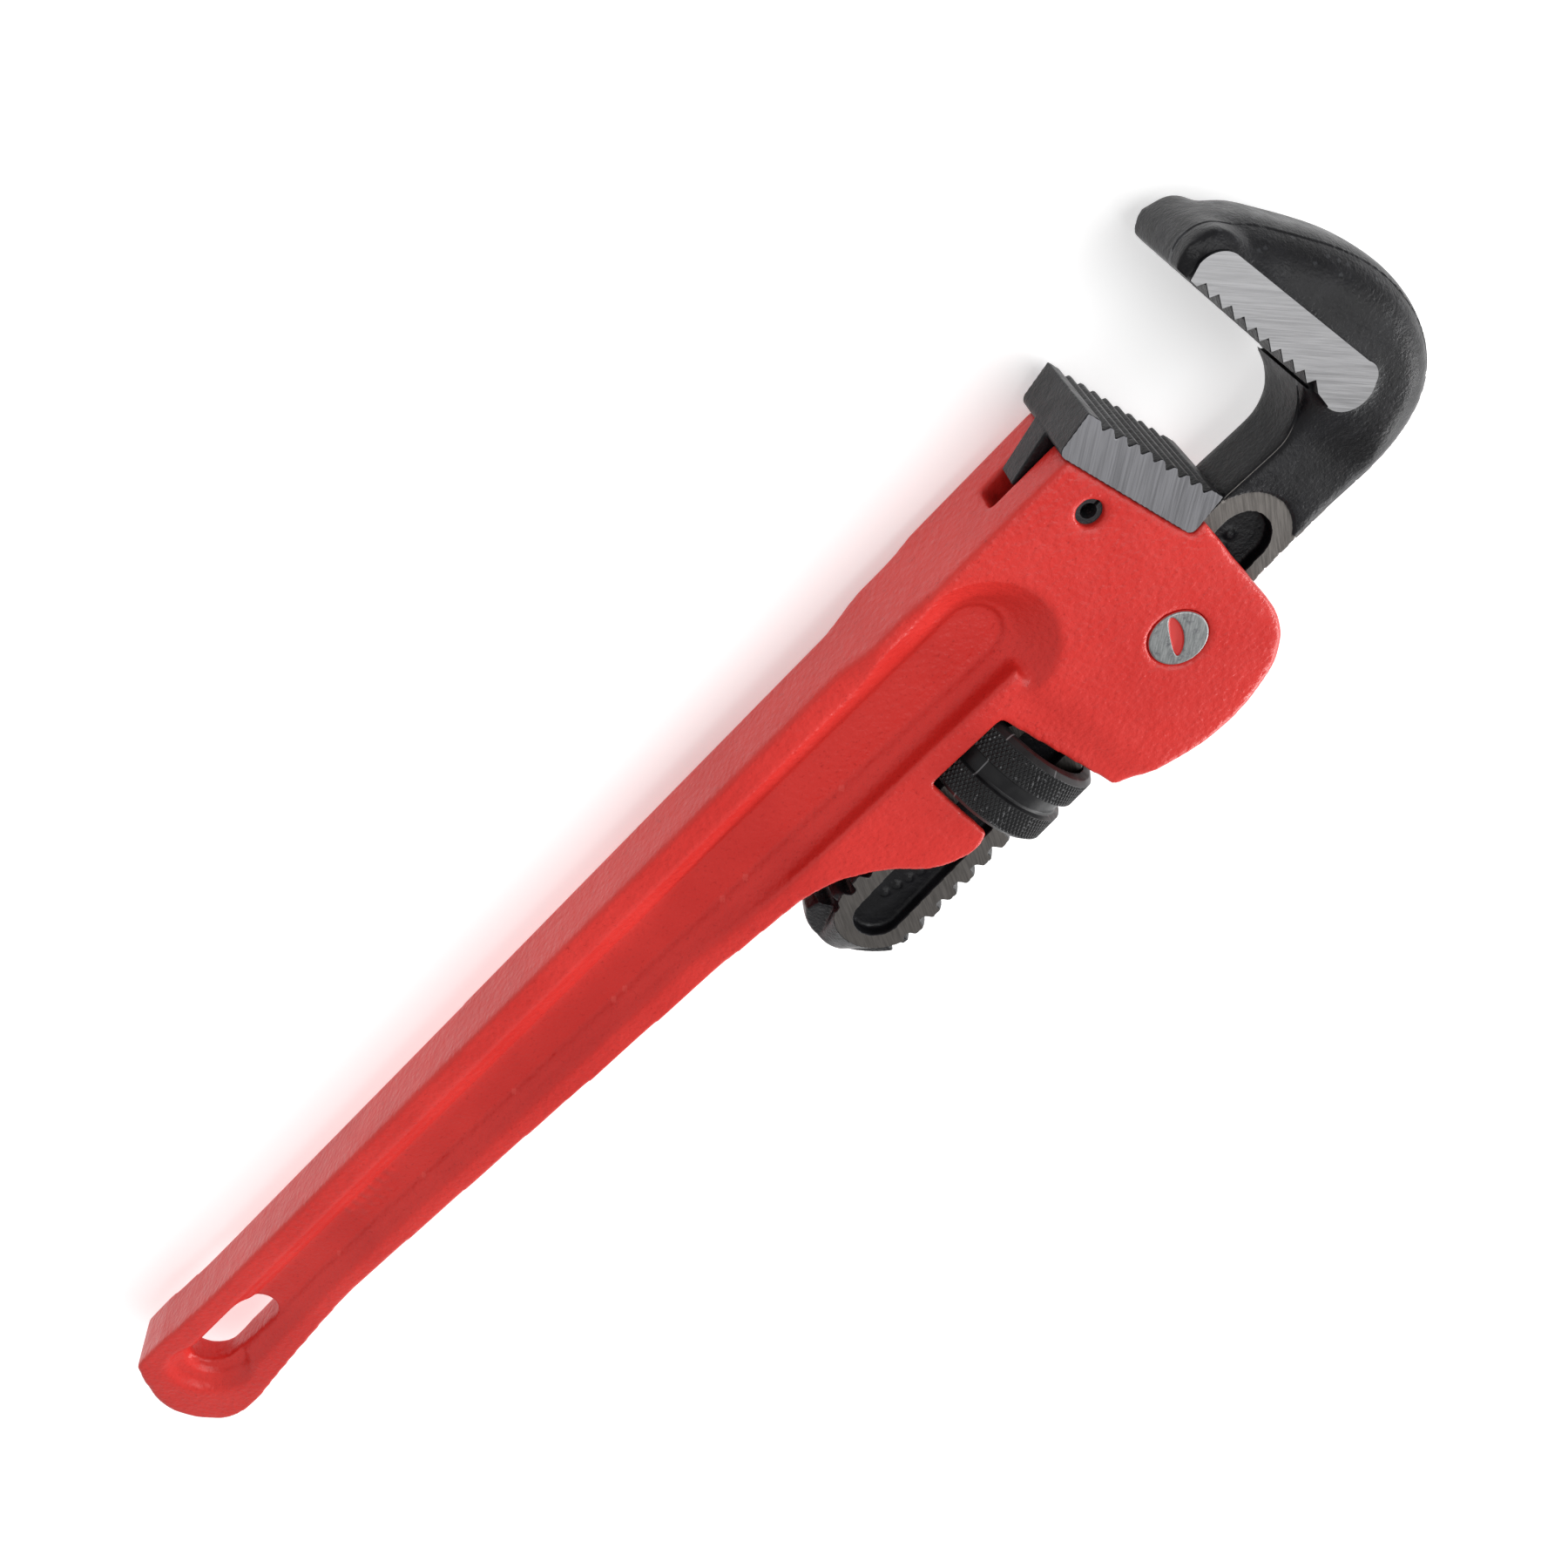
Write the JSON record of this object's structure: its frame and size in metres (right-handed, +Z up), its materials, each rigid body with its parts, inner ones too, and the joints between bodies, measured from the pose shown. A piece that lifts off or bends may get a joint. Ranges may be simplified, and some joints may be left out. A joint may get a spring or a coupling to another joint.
{
  "type": "pipe wrench",
  "caption": "Straight pipe wrench with a red cast handle, a toothed heel jaw, a sliding rocking hook jaw and a knurled adjusting nut in a window.",
  "frame": {"origin": "middle of the bounding box in X and Y, at the lowest point in Z, with the wrench lying on its side", "axes": "+X from the handle's tail to the hook jaw's crown, +Y towards the handle's flat back, +Z up through the flat side"},
  "size_m": [0.351, 0.0716, 0.029],
  "materials": {
    "handle_paint": "glossy red enamel over rough iron casting",
    "jaw_black": "semi-gloss black forging with ground bare-steel sides at the teeth",
    "pin_steel": "flush ground pin heads",
    "nut_black": "black oxide, two fine diamond-knurled rings",
    "spring_steel": "plain spring steel"
  },
  "bodies": {
    "handle": {"handle_housing": "handle_paint", "heel_jaw": "jaw_black", "heel_jaw_pin": "pin_steel", "stop_pin_upper": "pin_steel", "stop_pin_lower": "pin_steel", "coil_spring": "spring_steel"},
    "rocker": {"flat_spring": "spring_steel", "spring_rivet": "spring_steel"},
    "hook_jaw": {"hook_jaw": "jaw_black"},
    "nut": {"adjusting_nut": "nut_black"}
  },
  "joints": [
    {"name": "jaw_rock", "type": "hinge", "parent": "handle", "child": "rocker", "pos_m": [0.0779, -0.0156, 0.0145], "axis": [0, 0, 1], "range_deg": [-2.5, 1], "stiffness_Nm_per_rad": 10, "deforming": ["coil_spring"]},
    {"name": "jaw_slide", "type": "slide", "parent": "rocker", "child": "hook_jaw", "axis": [0.9962, 0.0872, 0], "range_m": [-0.0159, 0.027]},
    {"name": "nut_spin", "type": "hinge", "parent": "rocker", "child": "nut", "pos_m": [0.0779, -0.0156, 0.0145], "axis": [0.9962, 0.0872, 0], "range_deg": [-2000, 1400]}
  ],
  "couplings": [
    {"joint": "nut_spin", "follows": "jaw_slide", "rad_per_m": -1256.6}
  ]
}
